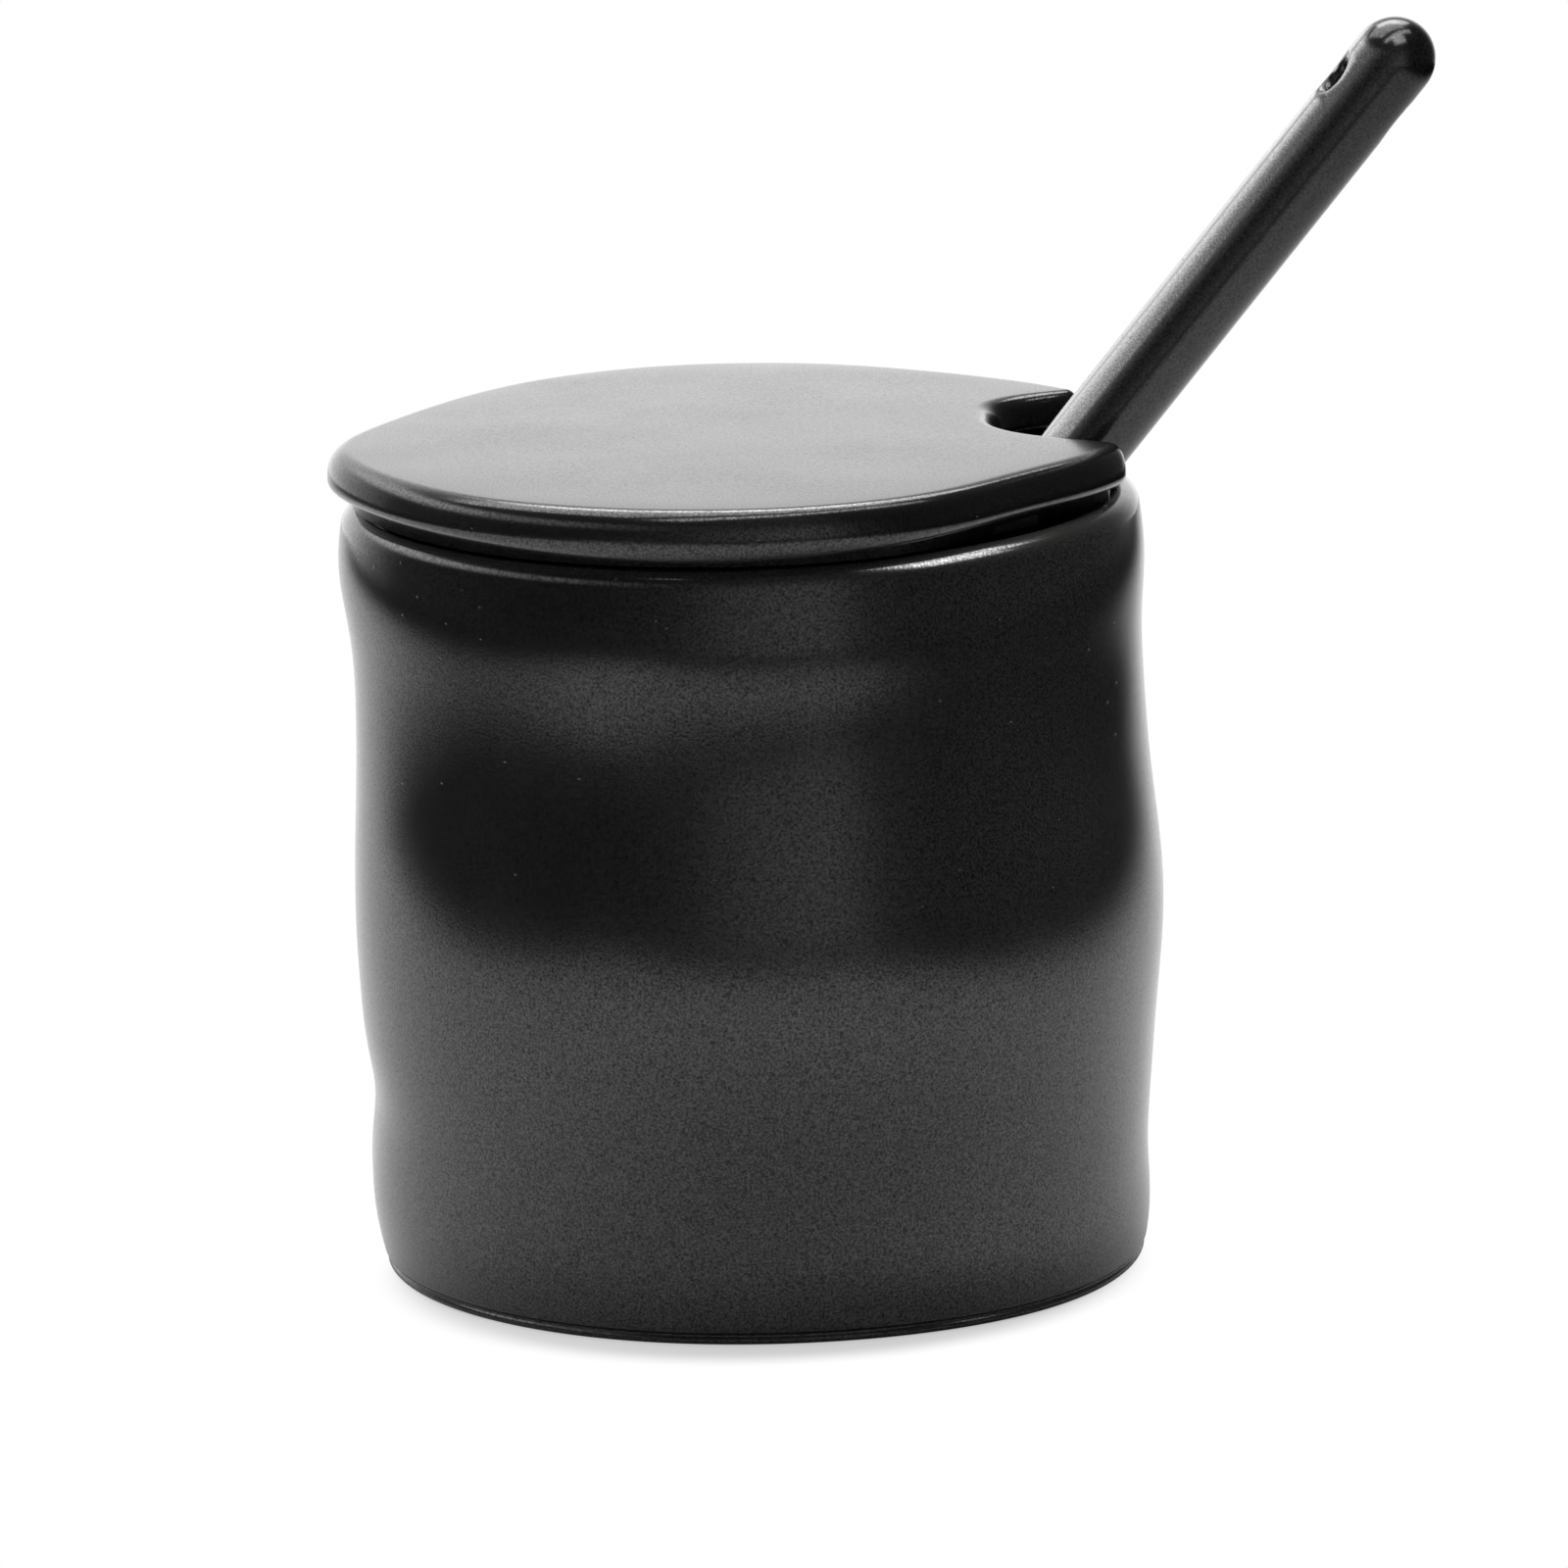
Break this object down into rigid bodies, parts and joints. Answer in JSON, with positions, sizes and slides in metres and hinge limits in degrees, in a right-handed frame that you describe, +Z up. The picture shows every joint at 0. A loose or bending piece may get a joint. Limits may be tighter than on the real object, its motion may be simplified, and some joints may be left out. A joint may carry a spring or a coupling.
{
  "type": "lidded condiment jar with spoon",
  "caption": "Squat hand-formed stoneware jar with a flat notched lid and a round-handled spoon that leans out through the notch, for sugar, salt or jam.",
  "frame": {"origin": "middle of the jar's flat underside, on the table", "axes": "+Z up, +X the side where the spoon leans out of the lid's notch, -Y the front"},
  "size_m": [0.1122, 0.0835, 0.1248],
  "materials": {
    "jar_glaze": "satin black glaze",
    "lid_glaze": "satin black glaze",
    "spoon_glaze": "satin black glaze"
  },
  "bodies": {
    "jar": {"jar": "jar_glaze"},
    "lid": {"lid": "lid_glaze"},
    "spoon": {"spoon": "spoon_glaze"}
  },
  "joints": [
    {"name": "lid_lift", "type": "slide", "parent": "jar", "child": "lid", "axis": [0, 0, 1], "range_m": [0, 0.06]},
    {"name": "spoon_lift", "type": "slide", "parent": "jar", "child": "spoon", "axis": [0.6358, 0, 0.7719], "range_m": [0, 0.05]}
  ]
}
